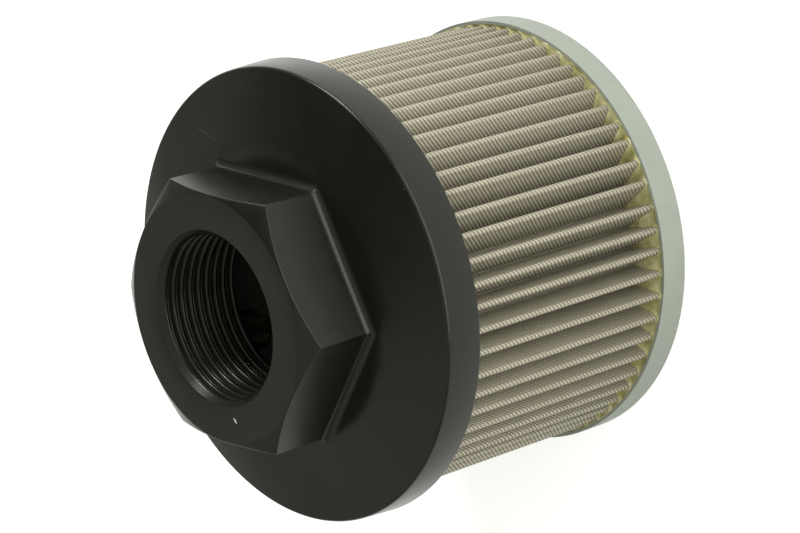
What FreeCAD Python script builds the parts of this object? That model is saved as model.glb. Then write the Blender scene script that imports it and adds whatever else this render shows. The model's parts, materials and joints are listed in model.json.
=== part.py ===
"""Suction strainer for a hydraulic oil tank, standing on its closed end with the port up.

A moulded head with a hexagon and a female pipe thread, a pleated wire-cloth pack, a
perforated tube that carries the pack, and a pressed end cap. Both ends of the pack and of
the tube are potted in resin. The Z axis is the filter's axis, z = 0 is the face that the end
cap stands on, and the hexagon has two of its flats square to the Y axis.
"""

import FreeCAD
import Part
import Sketcher
import math
import os

from FreeCAD import Vector

# Driving sizes, in millimetres, degrees or numbers of pieces
SIZES = [
    ("thread_major", 33.0, "port thread, major diameter"),
    ("thread_pitch", 2.0, "port thread, pitch"),
    ("mouth_diameter", 33.2, "port, 45 degree lead-in at the face"),
    ("hex_flats", 47.0, "head, hexagon across its flats"),
    ("hex_height", 14.2, "head, hexagon above its foot"),
    ("crown_circle", 46.6, "head, circle where the hexagon's crown begins"),
    ("crown_angle", 30.0, "head, slope of the hexagon's crown"),
    ("hub_margin", 2.0, "head, flat ring outside the hexagon's corners"),
    ("foot_radius", 1.8, "head, radius at the hexagon's foot"),
    ("cone_rise", 3.8, "head, rise of the flange's face to the hexagon"),
    ("hub_wall", 4.2, "head, thickness of the flange beside the hexagon's foot"),
    ("skirt_level", 55.5, "head, height of the skirt's lower edge"),
    ("skirt_height", 7.4, "head, height of the skirt outside"),
    ("skirt_wall", 2.15, "head, skirt thickness at its lower edge"),
    ("skirt_draft", 3.0, "head, draft of the skirt outside"),
    ("skirt_clearance", 0.7, "head, room between pleats and skirt"),
    ("edge_radius", 0.8, "head, radius at the flange's front edge"),
    ("flange_wall", 3.7, "head, flange over the potting trough, at the edge"),
    ("collar_wall", 2.0, "head, wall of the collar inside the tube"),
    ("collar_reach", 2.0, "head, collar below the skirt's lower edge"),
    ("collar_clearance", 0.2, "room between the tube and what locates it"),
    ("pleat_count", 64, "pack, number of pleats"),
    ("pleat_diameter", 81.5, "pack, diameter over the crests"),
    ("pleat_depth", 7.0, "pack, crest to valley"),
    ("pleat_start", 2.9, "pack, where the first crest would stand, from the X axis"),
    ("pleat_sway", 3.3, "pack, how far folds stand off their even places at most"),
    ("sway_start", 247.0, "pack, phase of that sway, which has two waves round the pack"),
    ("cloth_thickness", 0.5, "pack, thickness of the wire cloth, folded sharp inside"),
    ("end_gap", 0.8, "pack, resin under each end"),
    ("tube_gap", 0.15, "tube, room between tube and pleats"),
    ("tube_wall", 0.8, "tube, sheet thickness"),
    ("hole_width", 8.4, "tube, width of each hole"),
    ("hole_columns", 6, "tube, full columns of holes, with a staggered one between each two"),
    ("hole_rows", 3, "tube, holes in a full column"),
    ("hole_margin", 3.5, "tube, plain band between the holes and the resin"),
    ("cap_sheet", 0.6, "end cap, sheet thickness"),
    ("cap_bend", 0.9, "end cap, outer radius of the bend under its rim"),
    ("rim_height", 6.2, "end cap, height of its rim"),
    ("rim_clearance", 0.35, "end cap, room between pleats and rim"),
    ("well_margin", 0.3, "end cap, raised middle above the resin"),
    ("resin_below_rim", 0.4, "resin level below the cap's rim"),
    ("resin_below_skirt", 0.8, "resin level inside the skirt's edge"),
    ("clip_sheet", 0.35, "seam clip, sheet thickness"),
    ("clip_gap", 0.05, "seam clip, room between clip and cloth"),
    ("clip_leg", 2.6, "seam clip, straight length of each leg"),
    ("clip_inset", 0.3, "seam clip, room between its ends and the rim or the resin"),
]

# Radii and heights that several pieces share, as expressions of the sheet
PLEAT_R = "Sizes.pleat_diameter / 2"
SKIRT_IN = f"({PLEAT_R} + Sizes.skirt_clearance)"
SKIRT_OUT = f"({SKIRT_IN} + Sizes.skirt_wall)"
FRONT_EDGE = f"({SKIRT_OUT} - Sizes.skirt_height * tan(Sizes.skirt_draft))"
TUBE_OUT = f"({PLEAT_R} - Sizes.pleat_depth - Sizes.cloth_thickness - Sizes.tube_gap)"
TUBE_IN = f"({TUBE_OUT} - Sizes.tube_wall)"
LOCATOR = f"({TUBE_IN} - Sizes.collar_clearance)"
COLLAR_IN = f"({LOCATOR} - Sizes.collar_wall)"
BORE = "((Sizes.thread_major - 1.0825 * Sizes.thread_pitch) / 2)"
MOUTH = "(Sizes.mouth_diameter / 2)"
HEX_CORNER = "(Sizes.hex_flats / 2 / cos(30))"
HUB = f"({HEX_CORNER} + Sizes.hub_margin)"
RIM_IN = f"({PLEAT_R} + Sizes.rim_clearance)"
RIM_OUT = f"({RIM_IN} + Sizes.cap_sheet)"

SKIRT_Z = "Sizes.skirt_level"
FRONT_Z = f"({SKIRT_Z} + Sizes.skirt_height)"
HUB_Z = f"({FRONT_Z} + Sizes.cone_rise)"
TOP_Z = f"({HUB_Z} + Sizes.hex_height)"
TROUGH_Z = f"({FRONT_Z} - Sizes.flange_wall)"
COLLAR_Z = f"({SKIRT_Z} - Sizes.collar_reach)"
CORE_Z = f"({HUB_Z} - Sizes.hub_wall)"
CAP_RESIN_Z = "(Sizes.rim_height - Sizes.resin_below_rim)"
HEAD_RESIN_Z = f"({SKIRT_Z} + Sizes.resin_below_skirt)"
WELL_Z = f"({CAP_RESIN_Z} + Sizes.well_margin - Sizes.cap_sheet)"

# How far a feature runs past the face that it has to cross or sink into
OVERRUN = 0.5

doc = FreeCAD.newDocument("SuctionStrainer")


def make_sheet():
    """The spreadsheet of driving sizes, one row each: name, number, meaning."""
    sheet = doc.addObject("Spreadsheet::Sheet", "Sizes")
    for row, (alias, number, meaning) in enumerate(SIZES, start=1):
        sheet.set(f"A{row}", alias)
        sheet.set(f"B{row}", str(number))
        sheet.set(f"C{row}", meaning)
        sheet.setAlias(f"B{row}", alias)
    doc.recompute()
    return sheet


sheet = make_sheet()


def size(alias):
    """A driving size as a number."""
    return float(sheet.get(alias))


def new_body(label):
    body = doc.addObject("PartDesign::Body", label)
    body.Label = label
    return body


def origin_feature(body, role):
    """A plane or axis of the body's own origin, found by its role."""
    return next(o for o in body.Origin.OriginFeatures if o.Role == role)


def new_sketch(body, name, role, height=None):
    """A sketch on one of the body's own planes, raised to a height where one is given."""
    sketch = body.newObject("Sketcher::SketchObject", name)
    sketch.AttachmentSupport = [(origin_feature(body, role), "")]
    sketch.MapMode = "FlatFace"
    if height:
        sketch.setExpression("AttachmentOffset.Base.z", height)
    return sketch


def pin_point(sketch, geometry, vertex, across, up):
    """Fixes one point of a sketch by two expressions; None puts it on that axis."""
    for kind, axis, expression in (("DistanceX", -2, across), ("DistanceY", -1, up)):
        if expression is None:
            sketch.addConstraint(Sketcher.Constraint("PointOnObject", geometry, vertex, axis))
            continue
        point = sketch.getPoint(geometry, vertex)
        now = point.x if kind == "DistanceX" else point.y
        index = sketch.addConstraint(
            Sketcher.Constraint(kind, -1, 1, geometry, vertex, now)
        )
        sketch.setExpression(f"Constraints[{index}]", expression)


def add_ring(sketch, count):
    """A closed ring of straight lines, to be taken to its place by constraints."""
    first = sketch.GeometryCount
    angles = [2 * math.pi * i / count for i in range(count)]
    ring = [Vector(20 + 10 * math.cos(a), 20 + 10 * math.sin(a), 0) for a in angles]
    for i in range(count):
        sketch.addGeometry(Part.LineSegment(ring[i], ring[(i + 1) % count]), False)
    for i in range(count):
        after = first + (i + 1) % count
        sketch.addConstraint(Sketcher.Constraint("Coincident", first + i, 2, after, 1))
    return first


def add_outline(sketch, corners):
    """A closed outline of straight lines through corners given as (radius, height)."""
    first = add_ring(sketch, len(corners))
    for i, (across, up) in enumerate(corners):
        pin_point(sketch, first + i, 1, across, up)


def add_hole(sketch, centre_height):
    """A round hole on the vertical axis, drawn with eight sides that touch the circle."""
    reach = "(Sizes.hole_width / 2)"
    side = f"({reach} * tan(22.5))"
    right_half = [
        (side, f"{centre_height} - {reach}"),
        (reach, f"{centre_height} - {side}"),
        (reach, f"{centre_height} + {side}"),
        (side, f"{centre_height} + {reach}"),
    ]
    first = add_ring(sketch, 8)
    for i, (across, up) in enumerate(right_half):
        pin_point(sketch, first + i, 1, across, up)
        sketch.addConstraint(Sketcher.Constraint("Symmetric", first + i, 1, first + 7 - i, 1, -2))


def turned(body, kind, name, corners):
    """A Revolution or Groove of an outline about the filter's axis."""
    sketch = new_sketch(body, name + "Profile", "XZ_Plane")
    add_outline(sketch, corners)
    doc.recompute()
    feature = body.newObject("PartDesign::" + kind, name)
    feature.Profile = sketch
    feature.ReferenceAxis = (sketch, ["V_Axis"])
    feature.Angle = 360
    sketch.Visibility = False
    return feature


def round_pattern(body, name, feature, count_expression):
    """Copies of a feature round the filter's axis."""
    pattern = body.newObject("PartDesign::PolarPattern", name)
    pattern.Originals = [feature]
    pattern.Axis = (origin_feature(body, "Z_Axis"), [""])
    pattern.Angle = 360
    pattern.setExpression("Occurrences", count_expression)
    body.Tip = pattern
    return pattern


def edges_where(shape, wanted):
    """Names of the shape's edges that pass a test."""
    return [f"Edge{i}" for i, edge in enumerate(shape.Edges, start=1) if wanted(edge)]


def is_circle_at(edge, radius, height):
    curve = edge.Curve
    return (
        isinstance(curve, Part.Circle)
        and abs(curve.Radius - radius) < 0.01
        and abs(curve.Center.z - height) < 0.01
    )


def flattened(body, name, base, wanted, radius_expression):
    """A bend or rounded edge, drawn as the flat that touches its arc halfway."""
    doc.recompute()
    names = edges_where(base.Shape, wanted)
    if not names:
        raise RuntimeError(name + " found no edges")
    flat = body.newObject("PartDesign::Chamfer", name)
    flat.Base = (base, names)
    flat.setExpression("Size", f"({radius_expression}) * (2 - sqrt(2))")
    body.Tip = flat
    doc.recompute()
    return flat


def add_hexagon(sketch, flats_expression):
    """A regular hexagon about the origin with corners on the X axis."""
    start = [
        Vector(25 * math.cos(math.pi * i / 3), 25 * math.sin(math.pi * i / 3), 0)
        for i in range(6)
    ]
    for i in range(6):
        sketch.addGeometry(Part.LineSegment(start[i], start[(i + 1) % 6]), False)
    circle = sketch.addGeometry(Part.Circle(Vector(0, 0, 0), Vector(0, 0, 1), 25), True)
    sketch.addConstraint(Sketcher.Constraint("Coincident", circle, 3, -1, 1))
    for i in range(6):
        sketch.addConstraint(Sketcher.Constraint("Coincident", i, 2, (i + 1) % 6, 1))
        sketch.addConstraint(Sketcher.Constraint("PointOnObject", i, 1, circle))
    for i in range(1, 6):
        sketch.addConstraint(Sketcher.Constraint("Equal", 0, i))
    sketch.addConstraint(Sketcher.Constraint("PointOnObject", 0, 1, -1))
    index = sketch.addConstraint(Sketcher.Constraint("Radius", circle, 25))
    sketch.setExpression(f"Constraints[{index}]", f"{flats_expression} / 2 / cos(30)")


# Moulded head

def make_head():
    """Flange with skirt, potting trough and collar, hexagon with its crown, and port."""
    body = new_body("head")
    turned(body, "Revolution", "Flange", [
        (BORE, CORE_Z),
        (COLLAR_IN, CORE_Z),
        (COLLAR_IN, COLLAR_Z),
        (LOCATOR, COLLAR_Z),
        (LOCATOR, TROUGH_Z),
        (SKIRT_IN, TROUGH_Z),
        (SKIRT_IN, SKIRT_Z),
        (SKIRT_OUT, SKIRT_Z),
        (FRONT_EDGE, FRONT_Z),
        (HUB, HUB_Z),
        (BORE, HUB_Z),
    ])
    doc.recompute()

    outline = new_sketch(body, "HexagonOutline", "XY_Plane", HUB_Z)
    add_hexagon(outline, "Sizes.hex_flats")
    doc.recompute()
    hexagon = body.newObject("PartDesign::Pad", "Hexagon")
    hexagon.Profile = outline
    hexagon.setExpression("Length", "Sizes.hex_height")
    outline.Visibility = False
    doc.recompute()

    # The crown is a flat cone that trims the hexagon's corners back
    crown_start = "(Sizes.crown_circle / 2)"
    crown_end = f"({HEX_CORNER} + {OVERRUN})"
    turned(body, "Groove", "Crown", [
        (crown_start, TOP_Z),
        (crown_end, f"{TOP_Z} - ({crown_end} - {crown_start}) * tan(Sizes.crown_angle)"),
        (crown_end, f"{TOP_Z} + {OVERRUN}"),
        (crown_start, f"{TOP_Z} + {OVERRUN}"),
    ])
    doc.recompute()

    # The port is bored to the thread's minor diameter, with a 45 degree lead-in
    port = turned(body, "Groove", "Port", [
        (None, f"{CORE_Z} - {OVERRUN}"),
        (BORE, f"{CORE_Z} - {OVERRUN}"),
        (BORE, f"{TOP_Z} - ({MOUTH} - {BORE})"),
        (MOUTH, TOP_Z),
        (MOUTH, f"{TOP_Z} + {OVERRUN}"),
        (None, f"{TOP_Z} + {OVERRUN}"),
    ])
    doc.recompute()

    front_z = size("skirt_level") + size("skirt_height")
    hub_z = front_z + size("cone_rise")
    skirt_out = size("pleat_diameter") / 2 + size("skirt_clearance") + size("skirt_wall")
    front_edge = skirt_out - size("skirt_height") * math.tan(math.radians(size("skirt_draft")))
    edge = flattened(
        body, "FrontEdge", port,
        lambda e: is_circle_at(e, front_edge, front_z), "Sizes.edge_radius",
    )

    def is_hexagon_foot(e):
        return (
            isinstance(e.Curve, Part.Line)
            and all(abs(v.Point.z - hub_z) < 0.01 for v in e.Vertexes)
        )

    flattened(body, "HexagonFoot", edge, is_hexagon_foot, "Sizes.foot_radius")
    return body


# Pressed end cap

def make_end_cap():
    """One sheet with an outer rim and a raised middle, so that a ring channel holds the resin."""
    body = new_body("end_cap")
    well_in = f"({LOCATOR} - Sizes.cap_sheet)"
    blank = turned(body, "Revolution", "Cup", [
        (None, WELL_Z),
        (well_in, WELL_Z),
        (well_in, None),
        (RIM_OUT, None),
        (RIM_OUT, "Sizes.rim_height"),
        (RIM_IN, "Sizes.rim_height"),
        (RIM_IN, "Sizes.cap_sheet"),
        (LOCATOR, "Sizes.cap_sheet"),
        (LOCATOR, f"{WELL_Z} + Sizes.cap_sheet"),
        (None, f"{WELL_Z} + Sizes.cap_sheet"),
    ])
    rim_out = size("pleat_diameter") / 2 + size("rim_clearance") + size("cap_sheet")
    flattened(body, "RimBend", blank, lambda e: is_circle_at(e, rim_out, 0.0), "Sizes.cap_bend")
    return body


# Perforated tube

def make_support_tube():
    """Rolled and butt-welded sheet with staggered columns of round holes."""
    body = new_body("support_tube")
    ring = new_sketch(body, "TubeRing", "XY_Plane", "Sizes.cap_sheet")
    for expression, start in ((TUBE_OUT, 33.0), (TUBE_IN, 32.0)):
        circle = ring.addGeometry(Part.Circle(Vector(0, 0, 0), Vector(0, 0, 1), start), False)
        ring.addConstraint(Sketcher.Constraint("Coincident", circle, 3, -1, 1))
        index = ring.addConstraint(Sketcher.Constraint("Radius", circle, start))
        ring.setExpression(f"Constraints[{index}]", expression)
    doc.recompute()
    wall = body.newObject("PartDesign::Pad", "TubeWall")
    wall.Profile = ring
    wall.setExpression("Length", f"{TROUGH_Z} - Sizes.cap_sheet")
    ring.Visibility = False
    doc.recompute()

    rows = int(size("hole_rows"))
    low = f"({CAP_RESIN_Z} + Sizes.hole_margin + Sizes.hole_width / 2)"
    high = f"({HEAD_RESIN_Z} - Sizes.hole_margin - Sizes.hole_width / 2)"
    pitch = f"(({high} - {low}) / (Sizes.hole_rows - 1))"
    for name, count, shift in (("FullColumn", rows, 0.0), ("StaggeredColumn", rows - 1, 0.5)):
        column = new_sketch(body, name + "Holes", "XZ_Plane")
        if shift:
            column.AttachmentOffset = FreeCAD.Placement(
                Vector(0, 0, 0), FreeCAD.Rotation(Vector(0, 1, 0), 20)
            )
            column.setExpression("AttachmentOffset.Rotation.Angle", "180 / Sizes.hole_columns")
        for row in range(count):
            add_hole(column, f"({low} + {row + shift} * {pitch})")
        doc.recompute()
        holes = body.newObject("PartDesign::Pocket", name)
        holes.Profile = column
        holes.Type = "ThroughAll"
        column.Visibility = False
        doc.recompute()
        round_pattern(body, name + "s", holes, "Sizes.hole_columns")
        doc.recompute()
    return body


# Pleated pack

def turn(point, angle):
    """A point of the XY plane turned about the axis."""
    c, s = math.cos(angle), math.sin(angle)
    return Vector(point.x * c - point.y * s, point.x * s + point.y * c, 0)


def fold_corner(centre, arc, first, second):
    """Where the flat over a fold's arc meets the flank. The two are the surfaces' normals."""
    return centre + (first + second) * (arc / (1 + first.dot(second)))


def fold_angle(step):
    """Angle of a fold about the axis. Whole steps are crests and the halves are valleys.

    The pleats are gathered by hand, so they stand closer together on two opposite sides.
    """
    even = size("pleat_start") + step * 360 / int(size("pleat_count"))
    sway = size("pleat_sway") * math.sin(math.radians(2 * even + size("sway_start")))
    return math.radians(even + sway)


def flank(inset, crest, side):
    """One side of a pleat, from crest to valley, on the surface an inset under the outer one.

    The side is 1 for the valley after the crest and -1 for the one before it. The cloth is
    folded sharp on the inside of each fold, and outside it a narrow flat touches the fold's
    arc, whose radius is the cloth's thickness.
    """
    thickness = size("cloth_thickness")
    radius = size("pleat_diameter") / 2
    crest_angle = fold_angle(crest)
    half = abs(fold_angle(crest + side / 2) - crest_angle)
    crest_centre = Vector(radius - thickness, 0, 0)
    valley_centre = turn(Vector(radius - size("pleat_depth"), 0, 0), half)
    across = valley_centre - crest_centre
    lean = math.atan2(across.y, across.x) - math.acos(thickness / across.Length)
    normal = Vector(math.cos(lean), math.sin(lean), 0)
    outwards = Vector(1, 0, 0)
    inwards = turn(Vector(-1, 0, 0), half)
    top = fold_corner(crest_centre, thickness - inset, outwards, normal)
    foot = fold_corner(valley_centre, inset, inwards, -normal)
    if side < 0:
        top, foot = mirrored(top), mirrored(foot)
    return turn(top, crest_angle), turn(foot, crest_angle)


def mirrored(point):
    return Vector(point.x, -point.y, 0)


def closed_wire(points):
    """A closed line through the points, each of them only once."""
    apart = [p for p, before in zip(points, points[-1:] + points) if (p - before).Length > 1e-6]
    return Part.makePolygon(apart + apart[:1])


def pleat_wire(inset):
    """The closed line of all pleats on one surface of the cloth."""
    points = []
    for crest in range(int(size("pleat_count"))):
        top_before, foot_before = flank(inset, crest, -1)
        top, foot = flank(inset, crest, 1)
        points += [foot_before, top_before, top, foot]
    return closed_wire(points)


def level(*terms):
    """A height as the sum of signed sizes, such as level("rim_height", "-resin_below_rim")."""
    return sum(-size(t[1:]) if t.startswith("-") else size(t) for t in terms)


def make_pleated_mesh():
    """The wire cloth, folded into pleats and closed to a ring."""
    low = level("cap_sheet", "end_gap")
    high = level("skirt_level", "skirt_height", "-flange_wall", "-end_gap")
    surfaces = [pleat_wire(0), pleat_wire(size("cloth_thickness"))]
    cloth = Part.makeFace(surfaces, "Part::FaceMakerBullseye")
    piece = doc.addObject("Part::Feature", "pleated_mesh")
    piece.Shape = cloth.extrude(Vector(0, 0, high - low))
    piece.Placement.Base = Vector(0, 0, low)
    return piece


def make_seam_clip():
    """A folded strip that clamps the pack's seam, over one crest on the far side."""
    gap = size("clip_gap")
    outside = -gap - size("clip_sheet")
    low = level("rim_height", "clip_inset")
    high = level("skirt_level", "resin_below_skirt", "-clip_inset")
    seam_pleat = round(int(size("pleat_count")) / 4)
    section = []
    for inset, order in ((-gap, (-1, 1)), (outside, (1, -1))):
        for side in order:
            top, foot = flank(inset, seam_pleat, side)
            leg = top + (foot - top).normalize() * size("clip_leg")
            section += [leg, top] if side == order[0] else [top, leg]
    piece = doc.addObject("Part::Feature", "seam_clip")
    piece.Shape = Part.Face(closed_wire(section)).extrude(Vector(0, 0, high - low))
    piece.Placement.Base = Vector(0, 0, low)
    return piece


# Potting resin

def make_resin(label, outer, low, high, cloth):
    """A ring of resin round the tube, with the pack's end sunk into it."""
    blank = doc.addObject("Part::Cylinder", label + "_fill")
    blank.setExpression("Radius", outer)
    blank.setExpression("Height", f"{high} - {low}")
    blank.setExpression("Placement.Base.z", low)
    core = doc.addObject("Part::Cylinder", label + "_core")
    core.setExpression("Radius", TUBE_OUT)
    core.setExpression("Height", f"{high} - {low} + {2 * OVERRUN}")
    core.setExpression("Placement.Base.z", f"{low} - {OVERRUN}")
    ring = doc.addObject("Part::Cut", label + "_ring")
    ring.Base = blank
    ring.Tool = core
    resin = doc.addObject("Part::Cut", label)
    resin.Base = ring
    resin.Tool = cloth
    doc.recompute()
    return resin


def main():
    head = make_head()
    end_cap = make_end_cap()
    tube = make_support_tube()
    cloth = make_pleated_mesh()
    clip = make_seam_clip()
    doc.recompute()
    cap_resin = make_resin("cap_resin", RIM_IN, "Sizes.cap_sheet", CAP_RESIN_Z, cloth)
    head_resin = make_resin("head_resin", SKIRT_IN, HEAD_RESIN_Z, TROUGH_Z, cloth)
    write_parts([head, end_cap, tube, cloth, clip, cap_resin, head_resin])


def write_parts(pieces):
    """Checks the whole document and writes one STEP file for each piece."""
    doc.recompute()
    for item in doc.Objects:
        if "Invalid" in item.State or "Error" in item.State:
            raise RuntimeError(f"{item.Name} failed: {item.State}")
    os.makedirs("parts", exist_ok=True)
    for piece in pieces:
        shape = piece.Shape
        if shape.isNull() or not shape.isValid() or not shape.Solids:
            raise RuntimeError(f"{piece.Label} has no valid solid")
        shape.exportStep(os.path.join("parts", piece.Label + ".step"))
        print(piece.Label, len(shape.Solids), "solid", round(shape.Volume, 1), "mm3")


main()
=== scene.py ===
"""Looks of a suction strainer: moulded head, pleated wire cloth, potting resin and pressed cap."""

import json
import math

import bmesh
import bpy
import numpy as np
from mathutils import Matrix, Vector
from mathutils.bvhtree import BVHTree

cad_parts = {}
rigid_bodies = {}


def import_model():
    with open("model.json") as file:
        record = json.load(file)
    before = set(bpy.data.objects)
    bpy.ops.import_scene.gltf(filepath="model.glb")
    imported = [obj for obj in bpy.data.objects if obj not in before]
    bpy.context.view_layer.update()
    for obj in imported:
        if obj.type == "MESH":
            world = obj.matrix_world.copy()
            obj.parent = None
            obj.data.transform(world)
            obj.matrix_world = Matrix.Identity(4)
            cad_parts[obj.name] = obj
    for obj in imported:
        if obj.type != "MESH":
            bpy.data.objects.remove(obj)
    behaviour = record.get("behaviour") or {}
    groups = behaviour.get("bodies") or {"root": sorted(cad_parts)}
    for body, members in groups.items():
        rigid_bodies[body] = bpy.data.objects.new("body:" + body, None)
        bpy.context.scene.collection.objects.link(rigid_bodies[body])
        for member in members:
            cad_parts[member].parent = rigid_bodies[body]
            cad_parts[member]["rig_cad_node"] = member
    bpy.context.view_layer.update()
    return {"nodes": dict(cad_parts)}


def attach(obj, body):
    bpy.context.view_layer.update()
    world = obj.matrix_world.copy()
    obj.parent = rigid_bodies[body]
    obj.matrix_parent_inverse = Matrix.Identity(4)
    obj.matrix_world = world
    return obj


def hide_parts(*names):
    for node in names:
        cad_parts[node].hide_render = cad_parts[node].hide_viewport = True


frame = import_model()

MM = 0.001

# Sizes of the strainer in millimetres, as in the solids

PORT_MAJOR = 33.0
PORT_PITCH = 2.0
PORT_MINOR = PORT_MAJOR - 1.0825 * PORT_PITCH
MOUTH_DIAMETER = 33.2
HEX_FLATS = 47.0
CROWN_CIRCLE = 46.6
CROWN_SLOPE = math.radians(30)
TOP_LEVEL = 80.9
HUB_LEVEL = 66.7
HUB_RADIUS = HEX_FLATS / 2 / math.cos(math.radians(30)) + 2.0
FRONT_LEVEL = 62.9
SKIRT_LEVEL = 55.5
SKIRT_OUTSIDE = 43.6
FRONT_RADIUS = SKIRT_OUTSIDE - (FRONT_LEVEL - SKIRT_LEVEL) * math.tan(math.radians(3))
SKIRT_INSIDE = 41.45
TROUGH_LEVEL = 59.2
CORE_LEVEL = 62.5
COLLAR_LEVEL = 53.5
TUBE_OUTSIDE = 33.1
TUBE_INSIDE = 32.3
COLLAR_OUTSIDE = TUBE_INSIDE - 0.2
COLLAR_INSIDE = COLLAR_OUTSIDE - 2.0
CAP_SHEET = 0.6
RIM_INSIDE = 41.1
CAP_RESIN_LEVEL = 5.8
HEAD_RESIN_LEVEL = 56.3
CLOTH_THICKNESS = 0.5
CREST_RADIUS = 40.75
VALLEY_RADIUS = 33.75
PLEATS = 64
CLOTH_LOW = 1.4
CLOTH_HIGH = 58.4
PLEAT_START = math.radians(2.9)
PLEAT_SWAY = math.radians(3.3)
SWAY_START = math.radians(247)

# Finer sizes, which only the looks have, in millimetres, radians or turns

TROUGH_ROUNDING = 0.5
SKIRT_INNER_EDGE = 0.2
SKIRT_OUTER_EDGE = 0.25
FRONT_EDGE = 0.8
FOOT_RADIUS = 1.7
HEX_CORNER = 0.45
CROWN_EDGE = 0.28
TOP_EDGE = 0.5
MOUTH_EDGE = 0.12
CHAMBER_EDGE = 0.8
COLLAR_EDGE = 0.3
THREAD_START = 1.0
THREAD_RUN_IN = 0.4
THREAD_RUN_OUT = 0.7
THREAD_PHASE = 0.42
THREAD_ROWS = 108
CREST_HALF_WIDTH = 0.32
VALLEY_HALF_WIDTH = 0.3
PLEAT_LEAN = math.radians(2.5)
PLEAT_WANDER = 0.008
WIRE_PITCH = 0.455
WIRES_ROUND = 2020
RESIN_COLUMNS = 1280
RESIN_RINGS = 30
RESIN_CREEP = 0.55
RESIN_CREEP_WIDTH = 0.3
RESIN_RIPPLE = 0.08
MIDDLE_LEVEL = 40.0


# Small helpers


def clear_scene():
    """Removes whatever Blender's own start file holds beside the frame."""
    for thing in list(bpy.data.objects):
        if thing.type in {"CAMERA", "LIGHT"} and "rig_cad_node" not in thing:
            bpy.data.objects.remove(thing, do_unlink=True)


def linear(code):
    """An sRGB hex colour as the linear one that shaders take."""
    parts = [int(code[i : i + 2], 16) / 255 for i in (1, 3, 5)]
    return [c / 12.92 if c <= 0.04045 else ((c + 0.055) / 1.055) ** 2.4 for c in parts] + [1.0]


def add_node(tree, kind, inputs=(), **settings):
    """Adds a node with its settings and fills its inputs.

    The inputs are a list in the order of the sockets, or are keyed by the socket's name or number.
    Each one is a value, a socket to link, or a node whose first output is to be linked.
    """
    node = tree.nodes.new(kind)
    for name, value in settings.items():
        setattr(node, name, value)
    keyed = inputs if isinstance(inputs, dict) else dict(enumerate(inputs))
    for key, value in keyed.items():
        if isinstance(value, bpy.types.Node):
            value = value.outputs[0]
        if isinstance(value, bpy.types.NodeSocket):
            tree.links.new(value, node.inputs[key])
        else:
            node.inputs[key].default_value = value
    return node


def piece_from_arrays(name, points, faces, material, smooth=True):
    """A new mesh piece from points in millimetres and faces as index tuples."""
    mesh = bpy.data.meshes.new(name)
    mesh.from_pydata((np.asarray(points) * MM).tolist(), [], faces)
    mesh.validate()
    mesh.update()
    piece = bpy.data.objects.new(name, mesh)
    bpy.context.scene.collection.objects.link(piece)
    mesh.materials.append(material)
    if smooth:
        mesh.shade_smooth()
    return piece


def ring_faces(rows, columns):
    """Quads of a grid that closes on itself along both its rows and its columns."""
    row, column = np.meshgrid(np.arange(rows), np.arange(columns), indexing="ij")
    here = row * columns + column
    across = row * columns + (column + 1) % columns
    up = ((row + 1) % rows) * columns + column
    both = ((row + 1) % rows) * columns + (column + 1) % columns
    return np.stack([here, across, both, up], -1).reshape(-1, 4).tolist()


# Materials


def new_material(name):
    """An empty material and its node tree."""
    material = bpy.data.materials.new(name)
    material.use_nodes = True
    tree = material.node_tree
    tree.nodes.clear()
    return material, tree


def mark(tree, place, centre, direction, half_length, half_width):
    """A mask for one long mark at a place given in millimetres, 1 on it and 0 off it."""
    line = Vector(direction).normalized()
    off = add_node(
        tree, "ShaderNodeVectorMath", [place, Vector(centre) * MM], operation="SUBTRACT"
    )
    along = add_node(
        tree, "ShaderNodeVectorMath", [off, line / (half_length * MM)], operation="DOT_PRODUCT"
    )
    sideways = add_node(
        tree, "ShaderNodeVectorMath", [off, line / (half_width * MM)], operation="CROSS_PRODUCT"
    )
    beside = add_node(tree, "ShaderNodeVectorMath", [sideways], operation="LENGTH")
    both = add_node(
        tree, "ShaderNodeCombineXYZ", [along.outputs["Value"], beside.outputs["Value"]]
    )
    far = add_node(tree, "ShaderNodeVectorMath", [both], operation="LENGTH")
    return add_node(
        tree, "ShaderNodeMapRange",
        {"Value": far.outputs["Value"], "From Min": 0.6, "From Max": 1.0,
         "To Min": 1.0, "To Max": 0.0},
    )


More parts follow.
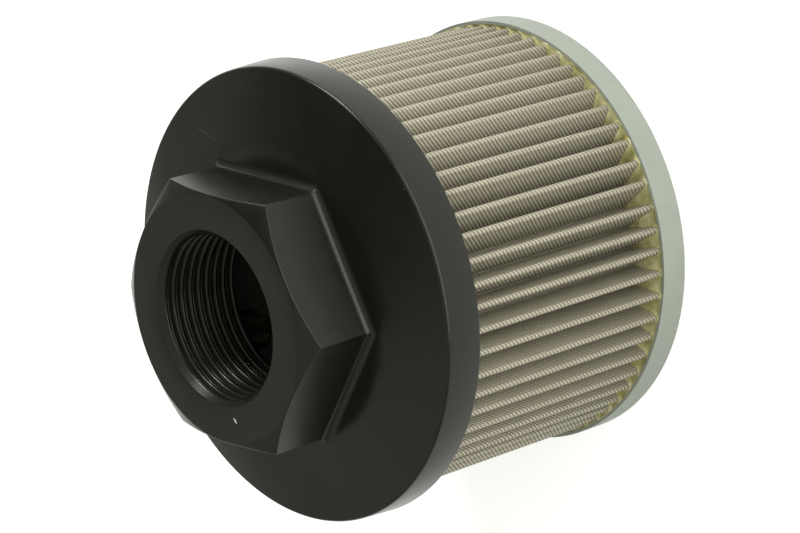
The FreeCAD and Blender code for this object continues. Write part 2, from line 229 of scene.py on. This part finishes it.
def moulded_nylon():
    """Black glass-filled nylon: a dark satin skin with fibre grain, handling scuffs and dust."""
    material, tree = new_material("glass_filled_nylon")
    place = add_node(tree, "ShaderNodeTexCoord").outputs["Object"]
    clouds = add_node(
        tree, "ShaderNodeTexNoise",
        {"Vector": place, "Scale": 1 / (14 * MM), "Detail": 4.0, "Roughness": 0.6},
    ).outputs["Fac"]
    colour = add_node(
        tree, "ShaderNodeMix", {"Factor": clouds, 6: linear("#0d0e08"), 7: linear("#15160f")},
        data_type="RGBA",
    ).outputs[2]
    skin = add_node(
        tree, "ShaderNodeMapRange",
        {"Value": clouds, "From Min": 0.3, "From Max": 0.7, "To Min": 0.24, "To Max": 0.33},
    )
    # Specks of dust, one in some of the cells that lie 3.5 mm apart
    cells = add_node(
        tree, "ShaderNodeTexVoronoi", {"Vector": place, "Scale": 1 / (3.5 * MM)}
    ).outputs
    near = add_node(
        tree, "ShaderNodeMapRange",
        {"Value": cells["Distance"], "From Min": 0.02, "From Max": 0.035,
         "To Min": 1.0, "To Max": 0.0},
    )
    kept = add_node(tree, "ShaderNodeMath", [cells["Color"], 0.62], operation="GREATER_THAN")
    specks = add_node(tree, "ShaderNodeMath", [near, kept], operation="MULTIPLY")
    # A scratch across the flange's face, and one white fleck beside the port
    scratch = mark(tree, place, (33.6, 1.8, 65.4), (6.4, 8.1, -1.8), 5.2, 0.11)
    fleck = mark(tree, place, (-18.45, 5.04, 80.9), (1, 0.3, 0), 0.7, 0.26)
    for mask, code in ((specks, "#55554a"), (scratch, "#46463c"), (fleck, "#c9cac2")):
        colour = add_node(
            tree, "ShaderNodeMix", {"Factor": mask, 6: colour, 7: linear(code)}, data_type="RGBA"
        ).outputs[2]
    # The grain of the fibres is drawn 0.25 mm wide, coarser than it is, so that it shows.
    # Scuffs of 2 mm break up the gloss.
    grain = add_node(
        tree, "ShaderNodeTexNoise", {"Vector": place, "Scale": 1 / (0.25 * MM), "Detail": 2.0}
    )
    scuffs = add_node(
        tree, "ShaderNodeTexNoise",
        {"Vector": place, "Scale": 1 / (2 * MM), "Detail": 6.0, "Roughness": 0.75},
    )
    relief = add_node(tree, "ShaderNodeMath", [scuffs, 1.6, grain], operation="MULTIPLY_ADD")
    bump = add_node(
        tree, "ShaderNodeBump", {"Height": relief, "Strength": 0.16, "Distance": 0.05 * MM}
    )
    shader = add_node(
        tree, "ShaderNodeBsdfPrincipled",
        {"Base Color": colour, "Roughness": skin, "Normal": bump,
         "IOR": 1.53, "Specular IOR Level": 0.28},
    )
    add_node(tree, "ShaderNodeOutputMaterial", {"Surface": shader})
    return material


def woven_wire():
    """Stainless wire cloth in twill weave: grey-beige wires in close slanting ribs, with painted
    shade between the wires and painted highlights on their knuckles.
    """
    material, tree = new_material("stainless_wire_cloth")
    place = add_node(tree, "ShaderNodeTexCoord").outputs["Object"]
    height = add_node(tree, "ShaderNodeSeparateXYZ", [place]).outputs["Z"]
    along = add_node(tree, "ShaderNodeAttribute", attribute_name="along").outputs["Fac"]
    # Each wire passes over two others, one place on from its neighbour, so the knuckles line up
    upward = add_node(
        tree, "ShaderNodeMath", [height, math.pi / (WIRE_PITCH * MM)], operation="MULTIPLY"
    )
    onward = add_node(tree, "ShaderNodeMath", [along, math.pi * WIRES_ROUND], operation="MULTIPLY")
    slant = add_node(tree, "ShaderNodeMath", [upward, onward], operation="SUBTRACT")
    ribs = add_node(tree, "ShaderNodeMath", [slant], operation="SINE")
    level_wires = add_node(tree, "ShaderNodeMath", [upward], operation="SINE")
    upright_wires = add_node(tree, "ShaderNodeMath", [onward], operation="SINE")
    crossings = add_node(
        tree, "ShaderNodeMath", [level_wires, upright_wires], operation="MULTIPLY"
    )
    weave = add_node(tree, "ShaderNodeMath", [crossings, 0.3, ribs], operation="MULTIPLY_ADD")
    stain = add_node(
        tree, "ShaderNodeTexNoise",
        {"Vector": place, "Scale": 1 / (6 * MM), "Detail": 5.0, "Roughness": 0.65},
    )
    wire = add_node(
        tree, "ShaderNodeMix", {"Factor": stain, 6: linear("#a29d8a"), 7: linear("#b6b19f")},
        data_type="RGBA",
    ).outputs[2]
    # Painted shade and highlight: the colour goes dark (#64604f) where the weave dips between the
    # wires, and pale on the knuckles
    painted_weave_shading = add_node(
        tree, "ShaderNodeMapRange",
        {"Value": weave, "From Min": -1.1, "From Max": 0.9, "To Min": 0.0, "To Max": 1.0},
    )
    colour = add_node(
        tree, "ShaderNodeMix", {"Factor": painted_weave_shading, 6: linear("#64604f"), 7: wire}, data_type="RGBA"
    ).outputs[2]
    bump = add_node(
        tree, "ShaderNodeBump", {"Height": weave, "Strength": 0.7, "Distance": 0.05 * MM}
    )
    shader = add_node(
        tree, "ShaderNodeBsdfPrincipled",
        {"Base Color": colour, "Normal": bump, "Metallic": 0.15, "Roughness": 0.5},
    )
    add_node(tree, "ShaderNodeOutputMaterial", {"Surface": shader})
    return material


def galvanised(name, low, high):
    """Galvanised sheet: pale, matt, with a faint cloudy bloom and fine rolling marks."""
    material, tree = new_material(name)
    place = add_node(tree, "ShaderNodeTexCoord").outputs["Object"]
    bloom = add_node(
        tree, "ShaderNodeTexNoise",
        {"Vector": place, "Scale": 1 / (5 * MM), "Detail": 6.0, "Roughness": 0.6},
    )
    colour = add_node(
        tree, "ShaderNodeMix", {"Factor": bloom, 6: linear(low), 7: linear(high)},
        data_type="RGBA",
    ).outputs[2]
    rough = add_node(
        tree, "ShaderNodeMapRange",
        {"Value": bloom, "From Min": 0.3, "From Max": 0.7, "To Min": 0.42, "To Max": 0.6},
    )
    fine = add_node(
        tree, "ShaderNodeTexNoise", {"Vector": place, "Scale": 1 / (0.4 * MM), "Detail": 3.0}
    )
    bump = add_node(
        tree, "ShaderNodeBump", {"Height": fine, "Strength": 0.15, "Distance": 0.05 * MM}
    )
    shader = add_node(
        tree, "ShaderNodeBsdfPrincipled",
        {"Base Color": colour, "Roughness": rough, "Normal": bump, "Metallic": 0.35},
    )
    add_node(tree, "ShaderNodeOutputMaterial", {"Surface": shader})
    return material


def cast_epoxy():
    """Yellow-green potting epoxy, poured and cured: glossy, with paler clouds in it."""
    material, tree = new_material("cast_epoxy")
    place = add_node(tree, "ShaderNodeTexCoord").outputs["Object"]
    clouds = add_node(
        tree, "ShaderNodeTexNoise", {"Vector": place, "Scale": 1 / (3 * MM), "Detail": 4.0}
    )
    clearer = add_node(
        tree, "ShaderNodeMapRange",
        {"Value": clouds, "From Min": 0.33, "From Max": 0.67, "To Min": 0.0, "To Max": 1.0},
    )
    colour = add_node(
        tree, "ShaderNodeMix", {"Factor": clearer, 6: linear("#96924f"), 7: linear("#cdc99c")},
        data_type="RGBA",
    ).outputs[2]
    shader = add_node(
        tree, "ShaderNodeBsdfPrincipled",
        {"Base Color": colour, "Roughness": 0.22, "IOR": 1.55, "Subsurface Weight": 0.15,
         "Subsurface Radius": (1.0 * MM, 0.9 * MM, 0.4 * MM), "Subsurface Scale": 1.0},
    )
    add_node(tree, "ShaderNodeOutputMaterial", {"Surface": shader})
    return material


# Moulded head


def rounded_corners(corners):
    """A line through corners given as (radius, height, rounding, steps), each one rounded.

    Every value may be an array over the columns round the axis. A corner with no steps stays
    sharp. Gives a list of (radius, height) rows.
    """
    rows = []
    count = len(corners)
    for i, (r, z, rounding, steps) in enumerate(corners):
        here = np.stack(np.broadcast_arrays(r, z), -1).astype(float)
        if not steps:
            rows.append(here)
            continue
        before, after = corners[i - 1], corners[(i + 1) % count]
        back = np.stack(np.broadcast_arrays(before[0] - r, before[1] - z), -1)
        ahead = np.stack(np.broadcast_arrays(after[0] - r, after[1] - z), -1)
        back = back / np.linalg.norm(back, axis=-1, keepdims=True)
        ahead = ahead / np.linalg.norm(ahead, axis=-1, keepdims=True)
        half = np.arccos(np.clip((back * ahead).sum(-1), -1, 1)) / 2
        middle = back + ahead
        middle = middle / np.linalg.norm(middle, axis=-1, keepdims=True)
        rounding = np.broadcast_to(rounding, half.shape)
        centre = here + middle * (rounding / np.sin(half))[..., None]
        # The arc runs from the foot on the line before to the foot on the line after
        sweep = math.pi / 2 - half
        across = back - (back * middle).sum(-1, keepdims=True) * middle
        across = across / np.linalg.norm(across, axis=-1, keepdims=True)
        for k in range(steps + 1):
            turn = (sweep * (1 - 2 * k / steps))[..., None]
            arc = -middle * np.cos(turn) + across * np.sin(turn)
            rows.append(centre + rounding[..., None] * arc)
    return rows


def hexagon_radius(angle, flats, corner_rounding):
    """Radius of a hexagon with rounded corners, one of them at angle 0."""
    step = math.pi / 3
    off = np.abs((angle + step / 2) % step - step / 2)
    plain = flats / 2 / np.cos(step / 2 - off)
    centre = (flats / 2 - corner_rounding) / math.cos(step / 2)
    end = math.atan2(
        corner_rounding * math.sin(step / 2), centre + corner_rounding * math.cos(step / 2)
    )
    inside = np.clip(corner_rounding**2 - (centre * np.sin(off)) ** 2, 0, None)
    arc = centre * np.cos(off) + np.sqrt(inside)
    return np.where(off < end, arc, plain)


def thread_radius(angle, height):
    """Radius of a right-hand 60 degree internal thread, flat at its crests and roots.

    It begins below the mouth's plain chamfer.
    """
    turns = height / PORT_PITCH - angle / (2 * math.pi) + THREAD_PHASE
    off = np.abs(turns - np.floor(turns) - 0.5) * PORT_PITCH
    root_flat, crest_flat = PORT_PITCH / 16, PORT_PITCH * 3 / 8
    cut = np.clip((crest_flat - off) / (crest_flat - root_flat), 0, 1)
    begun = min(max((TOP_LEVEL - THREAD_START - height) / THREAD_RUN_IN, 0), 1)
    return PORT_MINOR / 2 + (PORT_MAJOR - PORT_MINOR) / 2 * cut * begun


def head_columns():
    """Angles round the axis, close together at the hexagon's corners."""
    near = np.radians([0, 0.35, 0.7, 1.1, 1.7, 2.6])
    between = np.linspace(np.radians(4), np.radians(30), 17)
    half = np.concatenate([near, between])
    sector = np.concatenate([-half[:0:-1], half[:-1]])
    return np.concatenate([sector + i * math.pi / 3 for i in range(6)])


def head_rows(angle):
    """The head's section at each angle, as rows of (radius, height) from the skirt's edge."""
    wall = hexagon_radius(angle, HEX_FLATS, HEX_CORNER)
    crown = TOP_LEVEL - (wall - CROWN_CIRCLE / 2) * math.tan(CROWN_SLOPE)
    flat = np.zeros_like(angle)
    # The ring round the hexagon runs out softly into the face, as far as its width allows
    cone = math.atan2(HUB_LEVEL - FRONT_LEVEL, FRONT_RADIUS - HUB_RADIUS)
    blend = np.minimum((HUB_RADIUS - wall - FOOT_RADIUS) * 0.9 / math.tan(cone / 2), 16.0)
    return rounded_corners([
        (SKIRT_INSIDE + flat, TROUGH_LEVEL + flat, TROUGH_ROUNDING, 3),
        (SKIRT_INSIDE + flat, SKIRT_LEVEL + flat, SKIRT_INNER_EDGE, 2),
        (SKIRT_OUTSIDE + flat, SKIRT_LEVEL + flat, SKIRT_OUTER_EDGE, 3),
        (FRONT_RADIUS + flat, FRONT_LEVEL + flat, FRONT_EDGE, 6),
        (HUB_RADIUS + flat, HUB_LEVEL + flat, blend, 6),
        (wall, HUB_LEVEL + flat, FOOT_RADIUS, 8),
        (wall, crown, CROWN_EDGE, 4),
        (CROWN_CIRCLE / 2 + flat, TOP_LEVEL + flat, TOP_EDGE, 2),
        (MOUTH_DIAMETER / 2 + flat, TOP_LEVEL + flat, MOUTH_EDGE, 2),
        (PORT_MINOR / 2 + flat, TOP_LEVEL - (MOUTH_DIAMETER - PORT_MINOR) / 2, 0, 0),
        (PORT_MINOR / 2 + flat, CORE_LEVEL + flat, 0, 0),
        (COLLAR_INSIDE + flat, CORE_LEVEL + flat, CHAMBER_EDGE, 3),
        (COLLAR_INSIDE + flat, COLLAR_LEVEL + flat, COLLAR_EDGE, 2),
        (COLLAR_OUTSIDE + flat, COLLAR_LEVEL + flat, COLLAR_EDGE, 2),
        (COLLAR_OUTSIDE + flat, TROUGH_LEVEL + flat, TROUGH_ROUNDING, 3),
    ])


def make_head(material):
    """The moulded head with its port's thread, as one closed grid round the axis."""
    angle = head_columns()
    rows = head_rows(angle)
    # The two sharp rows are the port's ends, and the thread's rows go between them
    sharp = [i for i, row in enumerate(rows) if abs(row[0, 0] - PORT_MINOR / 2) < 1e-6]
    top = TOP_LEVEL - MOUTH_EDGE
    thread = []
    for k in range(THREAD_ROWS + 1):
        z = top + (CORE_LEVEL - top) * k / THREAD_ROWS
        lead_in = MOUTH_DIAMETER / 2 - (TOP_LEVEL - z)
        run_out = PORT_MINOR / 2 + THREAD_RUN_OUT - (z - CORE_LEVEL)
        r = np.maximum(thread_radius(angle, z), max(lead_in, run_out))
        thread.append(np.stack([r, np.full_like(r, z)], -1))
    grid = np.array(rows[: sharp[0]] + thread + rows[sharp[1] + 1 :])
    radius, height = grid[..., 0], grid[..., 1]
    points = np.stack([radius * np.cos(angle), radius * np.sin(angle), height], -1)
    faces = ring_faces(len(grid), len(angle))
    piece = piece_from_arrays("moulded_head", points.reshape(-1, 3), faces, material)
    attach(piece, "root")
    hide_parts("head")


# Pleated cloth


def pleat_sizes():
    """The pack's sizes in metres and radians, under the names of the tree's inputs."""
    return {
        "Pleats": PLEATS,
        "Crest radius": (CREST_RADIUS - CLOTH_THICKNESS / 2) * MM,
        "Valley radius": (VALLEY_RADIUS - CLOTH_THICKNESS / 2) * MM,
        "Crest half width": CREST_HALF_WIDTH * MM,
        "Valley half width": VALLEY_HALF_WIDTH * MM,
        "Start": PLEAT_START,
        "Sway": PLEAT_SWAY,
        "Sway start": SWAY_START,
        "Wander": PLEAT_WANDER,
        "Lean": PLEAT_LEAN,
        "Low edge": CLOTH_LOW * MM,
        "High edge": CLOTH_HIGH * MM,
        "Thickness": CLOTH_THICKNESS * MM,
    }


def pleat_tree(material, sizes):
    """A tree that folds a closed line into leaning pleats and sweeps the cloth's section."""
    tree = bpy.data.node_groups.new("wire_cloth_pack", "GeometryNodeTree")
    face = tree.interface
    face.new_socket("Geometry", in_out="OUTPUT", socket_type="NodeSocketGeometry")
    inputs = {}
    for name, value in sizes.items():
        kind = "NodeSocketInt" if isinstance(value, int) else "NodeSocketFloat"
        socket = face.new_socket(name, in_out="INPUT", socket_type=kind)
        socket.default_value = value
        inputs[name] = socket.identifier
    entry = add_node(tree, "NodeGroupInput").outputs

    # A line of two points to each fold, and the folds are crests and valleys in turn
    corners = add_node(tree, "ShaderNodeMath", [entry["Pleats"], 4], operation="MULTIPLY")
    circle = add_node(
        tree, "GeometryNodeCurvePrimitiveCircle", {"Resolution": corners}, mode="RADIUS"
    )
    index = add_node(tree, "GeometryNodeInputIndex")
    halved = add_node(tree, "ShaderNodeMath", [index, 0.5], operation="MULTIPLY")
    fold = add_node(tree, "ShaderNodeMath", [halved], operation="FLOOR")
    is_second = add_node(tree, "ShaderNodeMath", [index, 2], operation="MODULO")
    side = add_node(tree, "ShaderNodeMath", [is_second, 2, -1], operation="MULTIPLY_ADD")
    is_valley = add_node(tree, "ShaderNodeMath", [fold, 2], operation="MODULO")

    # Its even place round the pack, and how far the sway of the pack moves it on
    halfway = add_node(tree, "ShaderNodeMath", [fold, math.pi], operation="MULTIPLY")
    turned = add_node(tree, "ShaderNodeMath", [halfway, entry["Pleats"]], operation="DIVIDE")
    even = add_node(tree, "ShaderNodeMath", [turned, entry["Start"]], operation="ADD")
    phase = add_node(
        tree, "ShaderNodeMath", [even, 2, entry["Sway start"]], operation="MULTIPLY_ADD"
    )
    swing = add_node(tree, "ShaderNodeMath", [phase], operation="SINE")

    # Where the clip holds the seam, on +Y, the folds neither wander nor lean
    noise = add_node(
        tree, "FunctionNodeRandomValue", {"ID": fold, 2: -0.5, 3: 0.5, "Seed": 4},
        data_type="FLOAT",
    ).outputs[1]
    clipped = add_node(tree, "ShaderNodeMath", [even], operation="SINE")
    loose = add_node(tree, "ShaderNodeMath", [1, clipped], operation="SUBTRACT")
    loose_noise = add_node(tree, "ShaderNodeMath", [noise, loose], operation="MULTIPLY")
    wander = add_node(
        tree, "ShaderNodeMath", [loose_noise, entry["Wander"]], operation="MULTIPLY"
    )
    doubled = add_node(tree, "ShaderNodeMath", [loose, 2], operation="MULTIPLY")
    freed = add_node(tree, "ShaderNodeMath", [doubled, 1], operation="MINIMUM")
    leaning = add_node(tree, "ShaderNodeMath", [is_valley, freed], operation="MULTIPLY")
    lean = add_node(tree, "ShaderNodeMath", [leaning, entry["Lean"]], operation="MULTIPLY")
    drift = add_node(tree, "ShaderNodeMath", [wander, lean], operation="SUBTRACT")
    sway = add_node(
        tree, "ShaderNodeMath", [swing, entry["Sway"], drift], operation="MULTIPLY_ADD"
    )

    # The fold's radius and width, and so the place of each of its two points
    depth = add_node(
        tree, "ShaderNodeMath", [entry["Valley radius"], entry["Crest radius"]],
        operation="SUBTRACT",
    )
    radius = add_node(
        tree, "ShaderNodeMath", [is_valley, depth, entry["Crest radius"]],
        operation="MULTIPLY_ADD",
    )
    narrower = add_node(
        tree, "ShaderNodeMath", [entry["Valley half width"], entry["Crest half width"]],
        operation="SUBTRACT",
    )
    half_width = add_node(
        tree, "ShaderNodeMath", [is_valley, narrower, entry["Crest half width"]],
        operation="MULTIPLY_ADD",
    )
    half_angle = add_node(tree, "ShaderNodeMath", [half_width, radius], operation="DIVIDE")
    off_middle = add_node(tree, "ShaderNodeMath", [side, half_angle], operation="MULTIPLY")
    swayed = add_node(tree, "ShaderNodeMath", [even, sway], operation="ADD")
    angle = add_node(tree, "ShaderNodeMath", [swayed, off_middle], operation="ADD")
    cosine = add_node(tree, "ShaderNodeMath", [angle], operation="COSINE")
    sine = add_node(tree, "ShaderNodeMath", [angle], operation="SINE")
    x = add_node(tree, "ShaderNodeMath", [radius, cosine], operation="MULTIPLY")
    y = add_node(tree, "ShaderNodeMath", [radius, sine], operation="MULTIPLY")
    edges = add_node(
        tree, "ShaderNodeMath", [entry["Low edge"], entry["High edge"]], operation="ADD"
    )
    middle = add_node(tree, "ShaderNodeMath", [edges, 0.5], operation="MULTIPLY")
    place = add_node(tree, "ShaderNodeCombineXYZ", [x, y, middle])
    zigzag = add_node(
        tree, "GeometryNodeSetPosition", {"Geometry": circle, "Position": place}
    )

    # The folds are rounded, and each point keeps how far round the cloth it lies
    rounding = add_node(tree, "ShaderNodeMath", [half_width, 1.3], operation="MULTIPLY")
    folded = add_node(
        tree, "GeometryNodeFilletCurve",
        {"Curve": zigzag, "Radius": rounding, "Count": 4, "Limit Radius": True}, mode="POLY",
    )
    upright = add_node(tree, "GeometryNodeSetCurveNormal", {"Curve": folded}, mode="Z_UP")
    share = add_node(tree, "GeometryNodeSplineParameter").outputs["Factor"]
    path = add_node(
        tree, "GeometryNodeStoreNamedAttribute",
        {"Geometry": upright, "Name": "along", "Value": share},
        data_type="FLOAT", domain="POINT",
    )

    # The cloth's section, upright and with its cut edges rounded
    rise = add_node(
        tree, "ShaderNodeMath", [entry["High edge"], entry["Low edge"]], operation="SUBTRACT"
    )
    plate = add_node(
        tree, "GeometryNodeCurvePrimitiveQuadrilateral",
        {"Width": entry["Thickness"], "Height": rise}, mode="RECTANGLE",
    )
    edge = add_node(tree, "ShaderNodeMath", [entry["Thickness"], 0.3], operation="MULTIPLY")
    section = add_node(
        tree, "GeometryNodeFilletCurve", {"Curve": plate, "Radius": edge, "Count": 2},
        mode="POLY",
    )
    swept = add_node(
        tree, "GeometryNodeCurveToMesh", {"Curve": path, "Profile Curve": section}
    )
    smooth = add_node(tree, "GeometryNodeSetShadeSmooth", {"Geometry": swept})
    real = add_node(tree, "GeometryNodeRealizeInstances", {"Geometry": smooth})
    dressed = add_node(
        tree, "GeometryNodeSetMaterial", {"Geometry": real, "Material": material}
    )
    add_node(tree, "NodeGroupOutput", {"Geometry": dressed})
    return tree, inputs


def plain_mesh(name, tree, inputs, values):
    """Runs a geometry tree on an empty mesh and gives its result as a plain mesh piece."""
    holder = bpy.data.objects.new(name, bpy.data.meshes.new(name + "_start"))
    bpy.context.scene.collection.objects.link(holder)
    modifier = holder.modifiers.new("make", "NODES")
    modifier.node_group = tree
    for key, value in values.items():
        modifier[inputs[key]] = value
    graph = bpy.context.evaluated_depsgraph_get()
    mesh = bpy.data.meshes.new_from_object(holder.evaluated_get(graph), depsgraph=graph)
    holder.modifiers.remove(modifier)
    holder.data = mesh
    mesh.name = name
    return holder


def outward(piece):
    """Turns the faces of a closed piece to point out of it."""
    work = bmesh.new()
    work.from_mesh(piece.data)
    bmesh.ops.remove_doubles(work, verts=work.verts, dist=0.001 * MM)
    bmesh.ops.recalc_face_normals(work, faces=work.faces)
    work.to_mesh(piece.data)
    work.free()


def make_cloth(material):
    """The folded wire cloth as one closed sheet."""
    sizes = pleat_sizes()
    tree, inputs = pleat_tree(material, sizes)
    piece = plain_mesh("pleated_cloth", tree, inputs, sizes)
    outward(piece)
    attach(piece, "root")
    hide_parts("pleated_mesh")
    return piece


# Potting resin


def make_resin(name, node, inside, outside, low, high, cloth, material):
    """A ring of resin that creeps a little way up the cloth, the tube and the wall round it."""
    angle = 2 * math.pi * np.arange(RESIN_COLUMNS) / RESIN_COLUMNS
    radii = np.linspace(inside, outside, RESIN_RINGS)
    away = 1 if high > low else -1
    folds = BVHTree.FromPolygons(
        [v.co / MM for v in cloth.data.vertices], [f.vertices for f in cloth.data.polygons]
    )
    rows = []
    for r in radii:
        x, y = r * np.cos(angle), r * np.sin(angle)
        gap = np.array([folds.find_nearest((i, j, high))[3] for i, j in zip(x, y)])
        gap = np.minimum(gap, min(outside - r, r - inside) + RESIN_CREEP_WIDTH / 2)
        creep = RESIN_CREEP * np.exp(-gap / RESIN_CREEP_WIDTH)
        ripple = RESIN_RIPPLE * np.sin(9 * angle + 1.3 + r / 2)
        rows.append(np.stack([x, y, high + away * (creep + ripple)], -1))
    for r in radii[::-1]:
        flat = np.full(RESIN_COLUMNS, low)
        rows.append(np.stack([r * np.cos(angle), r * np.sin(angle), flat], -1))
    points = np.array(rows).reshape(-1, 3)
    piece = piece_from_arrays(name, points, ring_faces(len(rows), RESIN_COLUMNS), material)
    outward(piece)
    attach(piece, "root")
    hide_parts(node)


# Studio


def make_stage():
    """A white floor that keeps a soft shadow, and reads as white to the eye and in reflections."""
    material, tree = new_material("studio_floor")
    paper = add_node(tree, "ShaderNodeBsdfDiffuse", {"Color": linear("#e6e6e6")})
    glow = add_node(tree, "ShaderNodeEmission", {"Color": (1, 1, 1, 1), "Strength": 0.55})
    rays = add_node(tree, "ShaderNodeLightPath").outputs
    seen = add_node(
        tree, "ShaderNodeMath", [rays["Is Camera Ray"], rays["Is Glossy Ray"]],
        operation="MAXIMUM",
    )
    seen = add_node(
        tree, "ShaderNodeMath", [seen, rays["Is Transmission Ray"]], operation="MAXIMUM"
    )
    both = add_node(tree, "ShaderNodeAddShader", [paper, glow])
    mixed = add_node(tree, "ShaderNodeMixShader", [seen, paper, both])
    add_node(tree, "ShaderNodeOutputMaterial", {"Surface": mixed})
    size = 4000.0
    points = [(-size, -size, 0), (size, -size, 0), (size, size, 0), (-size, size, 0)]
    floor = piece_from_arrays("studio_floor", points, [(0, 1, 2, 3)], material, smooth=False)


def make_world():
    """Pale walls all round, with a dim patch in the ceiling that the flange reflects."""
    world = bpy.data.worlds.new("studio")
    bpy.context.scene.world = world
    world.use_nodes = True
    tree = world.node_tree
    tree.nodes.clear()
    direction = add_node(tree, "ShaderNodeTexCoord").outputs["Generated"]
    aim = Vector((0.40, 0.30, 0.87)).normalized()
    towards = add_node(
        tree, "ShaderNodeVectorMath", [direction, aim], operation="DOT_PRODUCT"
    ).outputs["Value"]
    patch = add_node(
        tree, "ShaderNodeMapRange",
        {"Value": towards, "From Min": 0.82, "From Max": 0.95, "To Min": 0.50, "To Max": 0.06},
        interpolation_type="SMOOTHSTEP",
    )
    # The walls grow brighter from low down to the ceiling
    height = add_node(tree, "ShaderNodeSeparateXYZ", [direction]).outputs["Z"]
    upper = add_node(
        tree, "ShaderNodeMapRange",
        {"Value": height, "From Min": 0.25, "From Max": 0.6, "To Min": 0.5, "To Max": 1.45},
    )
    strength = add_node(tree, "ShaderNodeMath", [patch, upper], operation="MULTIPLY")
    walls = add_node(
        tree, "ShaderNodeBackground", {"Color": (1.0, 1.0, 0.88, 1.0), "Strength": strength}
    )
    # The eye sees plain white, and reflections keep the walls, or the black nylon would look grey
    white = add_node(tree, "ShaderNodeBackground", {"Strength": 1.0})
    rays = add_node(tree, "ShaderNodeLightPath").outputs
    seen = add_node(
        tree, "ShaderNodeMath", [rays["Is Camera Ray"], rays["Is Transmission Ray"]],
        operation="MAXIMUM",
    )
    mixed = add_node(tree, "ShaderNodeMixShader", [seen, walls, white])
    add_node(tree, "ShaderNodeOutputWorld", {"Surface": mixed})


def area_light(name, place, width, height, watts):
    """A softbox at a place in millimetres, turned to the middle of the strainer."""
    light = bpy.data.lights.new(name, "AREA")
    light.shape = "RECTANGLE"
    light.size = width * MM
    light.size_y = height * MM
    light.energy = watts
    lamp = bpy.data.objects.new(name, light)
    lamp.location = Vector(place) * MM
    lamp.rotation_mode = "QUATERNION"
    towards = Vector((0, 0, MIDDLE_LEVEL)) - Vector(place)
    lamp.rotation_quaternion = towards.to_track_quat("-Z", "Y")
    bpy.context.scene.collection.objects.link(lamp)


def make_camera():
    """The photograph's view: above the port and rolled, so the filter seems to lie down."""
    lens = bpy.data.cameras.new("camera")
    lens.lens = 149.56
    lens.sensor_width = 36.0
    lens.clip_start = 0.01
    lens.clip_end = 20.0
    right = Vector((-0.364092, -0.568599, -0.737653))
    back = Vector((-0.102081, -0.762880, 0.638430))
    up = back.cross(right)
    camera = bpy.data.objects.new("camera", lens)
    camera.matrix_world = Matrix((
        (right.x, up.x, back.x, -65.12 * MM),
        (right.y, up.y, back.y, -482.38 * MM),
        (right.z, up.z, back.z, 438.98 * MM),
        (0, 0, 0, 1),
    ))
    bpy.context.scene.collection.objects.link(camera)
    bpy.context.scene.camera = camera


def dress_node(node, material):
    """Gives a node of the frame another finish."""
    shown = frame["nodes"][node]
    shown.data.materials.clear()
    shown.data.materials.append(material)


def main():
    clear_scene()
    bpy.context.scene.view_settings.view_transform = "Standard"
    make_camera()
    make_stage()
    make_world()
    area_light("key_light", (520, -110, 310), 170, 170, 2.4)
    area_light("front_light", (-60, -640, 200), 1000, 350, 4.7)
    nylon = moulded_nylon()
    wire = woven_wire()
    cap_zinc = galvanised("galvanised_cap", "#888e84", "#9ca297")
    tube_zinc = galvanised("galvanised_tube", "#85887f", "#9b9e95")
    epoxy = cast_epoxy()
    make_head(nylon)
    cloth = make_cloth(wire)
    make_resin(
        "potting_at_cap", "cap_resin", TUBE_OUTSIDE, RIM_INSIDE, CAP_SHEET, CAP_RESIN_LEVEL,
        cloth, epoxy,
    )
    make_resin(
        "potting_at_head", "head_resin", TUBE_OUTSIDE, SKIRT_INSIDE, TROUGH_LEVEL,
        HEAD_RESIN_LEVEL, cloth, epoxy,
    )
    dress_node("end_cap", cap_zinc)
    dress_node("support_tube", tube_zinc)
    dress_node("seam_clip", tube_zinc)


main()
